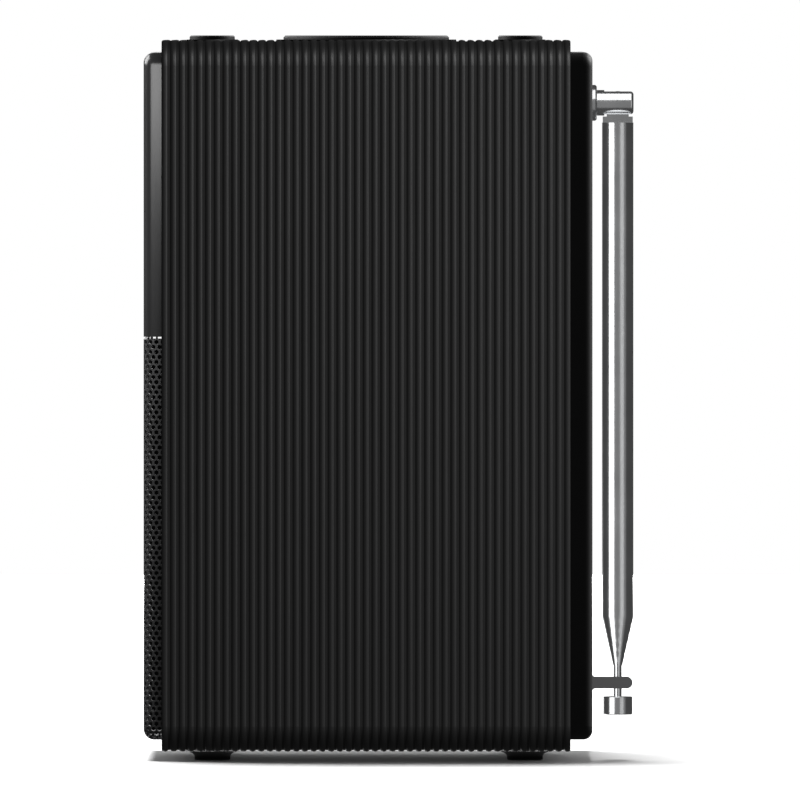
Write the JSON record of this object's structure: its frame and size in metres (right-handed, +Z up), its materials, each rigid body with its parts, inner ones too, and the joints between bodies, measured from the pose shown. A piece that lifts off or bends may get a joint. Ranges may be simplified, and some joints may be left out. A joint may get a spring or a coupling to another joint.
{
  "type": "tabletop radio",
  "caption": "Upright tabletop radio: ribbed black sleeve, glossy front over a mesh speaker grille, jog dial and push buttons on top, telescopic aerial stowed down the back.",
  "frame": {"origin": "on the table, at the middle of the radio's width and depth, aerial included", "axes": "+Z up, the front panel and speaker face -Y, the aerial is at the back, +Y, on the +X side"},
  "size_m": [0.14, 0.1338, 0.198],
  "materials": {
    "ribbed_plastic": "satin, fine moulded grain",
    "smooth_plastic": "smooth satin",
    "inner_plastic": "matte",
    "gloss_panel": "polished",
    "display_window": "smoked, polished",
    "display_glass": "polished",
    "circuit_board": "satin solder mask",
    "grille_metal": "satin black paint",
    "acoustic_cloth": "open weave",
    "inner_metal": "black coating",
    "magnet_steel": "plated, ground",
    "spider_cloth": "phenolic cloth",
    "surround_rubber": "matte",
    "cone_paper": "pressed paper",
    "coil_wire": "enamelled",
    "screw_steel": "zinc plated",
    "black_steel": "black oxide",
    "plated_steel": "tin plated",
    "socket_plastic": "moulded",
    "capacitor_sleeve": "shrink sleeve",
    "black_aluminium": "anodised",
    "white_plastic": "moulded",
    "control_plastic": "satin",
    "chrome": "polished",
    "rest_plastic": "satin",
    "wire_black": "wire sleeve",
    "wire_red": "wire sleeve",
    "ribbon_plastic": "flat flexible cable",
    "foot_plastic": "satin",
    "rubber": "matte"
  },
  "bodies": {
    "cabinet": {"cabinet_sleeve": "ribbed_plastic", "front_baffle": "inner_plastic", "front_panel": "gloss_panel", "display_lens": "display_window", "display_module": "display_glass", "display_board": "circuit_board", "grille_mesh": "grille_metal", "grille_cloth": "acoustic_cloth", "speaker_basket": "inner_metal", "speaker_magnet": "magnet_steel", "speaker_spider": "spider_cloth", "speaker_surround": "surround_rubber", "baffle_screws": "screw_steel", "back_cover": "smooth_plastic", "cover_screws": "black_steel", "connector_plate": "inner_plastic", "dc_jack": "socket_plastic", "audio_jacks": "socket_plastic", "usb_port": "plated_steel", "main_board": "circuit_board", "board_screws": "screw_steel", "tuner_can": "plated_steel", "board_chips": "socket_plastic", "capacitors": "capacitor_sleeve", "heat_sink": "black_aluminium", "control_carrier": "inner_plastic", "control_board": "circuit_board", "encoder_body": "inner_metal", "switch_bodies": "socket_plastic", "aerial_base": "chrome", "aerial_nut": "plated_steel", "aerial_rest": "rest_plastic", "aerial_lead": "wire_black", "speaker_lead": "wire_red", "ribbon_cables": "ribbon_plastic", "feet": "foot_plastic", "foot_pads": "rubber"},
    "cone": {"speaker_cone": "cone_paper", "dust_cap": "cone_paper", "voice_coil": "coil_wire"},
    "dial_carriage": {"encoder_slider": "white_plastic"},
    "dial": {"encoder_shaft": "plated_steel", "dial_ring": "control_plastic", "dial_cap": "control_plastic"},
    "front_left_button": {"button_front_left": "control_plastic"},
    "front_right_button": {"button_front_right": "control_plastic"},
    "back_left_button": {"button_back_left": "control_plastic"},
    "back_right_button": {"button_back_right": "control_plastic"},
    "elbow": {"aerial_swivel": "chrome", "aerial_clip": "black_steel", "aerial_pin": "plated_steel"},
    "mast_1": {"mast_tongue": "chrome", "mast_tube_1": "chrome"},
    "mast_2": {"mast_tube_2": "chrome"},
    "mast_3": {"mast_tube_3": "chrome"},
    "mast_4": {"mast_tube_4": "chrome"},
    "mast_5": {"mast_tube_5": "chrome"},
    "mast_6": {"mast_rod": "chrome", "mast_tip": "chrome"}
  },
  "joints": [
    {"name": "cone_travel", "type": "slide", "parent": "cabinet", "child": "cone", "axis": [0, -1, 0], "range_m": [-0.0015, 0.0015], "stiffness_N_per_m": 1500, "deforming": ["speaker_surround", "speaker_spider"]},
    {"name": "dial_press", "type": "slide", "parent": "cabinet", "child": "dial_carriage", "axis": [0, 0, -1], "range_m": [0, 0.0006], "stiffness_N_per_m": 2000, "springref_m": -0.0006},
    {"name": "dial_turn", "type": "hinge", "parent": "dial_carriage", "child": "dial", "pos_m": [0, -0.0062, 0.196], "axis": [0, 0, 1], "continuous": true},
    {"name": "front_left_press", "type": "slide", "parent": "cabinet", "child": "front_left_button", "axis": [0, 0, -1], "range_m": [0, 0.0008], "stiffness_N_per_m": 900, "springref_m": -0.0008},
    {"name": "front_right_press", "type": "slide", "parent": "cabinet", "child": "front_right_button", "axis": [0, 0, -1], "range_m": [0, 0.0008], "stiffness_N_per_m": 900, "springref_m": -0.0008},
    {"name": "back_left_press", "type": "slide", "parent": "cabinet", "child": "back_left_button", "axis": [0, 0, -1], "range_m": [0, 0.0008], "stiffness_N_per_m": 900, "springref_m": -0.0008},
    {"name": "back_right_press", "type": "slide", "parent": "cabinet", "child": "back_right_button", "axis": [0, 0, -1], "range_m": [0, 0.0008], "stiffness_N_per_m": 900, "springref_m": -0.0008},
    {"name": "aerial_swivel_turn", "type": "hinge", "parent": "cabinet", "child": "elbow", "pos_m": [0.048, 0.0556, 0.1796], "axis": [0, 1, 0], "range_deg": [0, 350]},
    {"name": "aerial_tilt", "type": "hinge", "parent": "elbow", "child": "mast_1", "pos_m": [0.048, 0.0626, 0.1796], "axis": [1, 0, 0], "range_deg": [0, 180]},
    {"name": "mast_slide_1", "type": "slide", "parent": "mast_1", "child": "mast_2", "axis": [0, 0, -1], "range_m": [0, 0.118]},
    {"name": "mast_slide_2", "type": "slide", "parent": "mast_2", "child": "mast_3", "axis": [0, 0, -1], "range_m": [0, 0.118]},
    {"name": "mast_slide_3", "type": "slide", "parent": "mast_3", "child": "mast_4", "axis": [0, 0, -1], "range_m": [0, 0.118]},
    {"name": "mast_slide_4", "type": "slide", "parent": "mast_4", "child": "mast_5", "axis": [0, 0, -1], "range_m": [0, 0.118]},
    {"name": "mast_slide_5", "type": "slide", "parent": "mast_5", "child": "mast_6", "axis": [0, 0, -1], "range_m": [0, 0.118]}
  ]
}
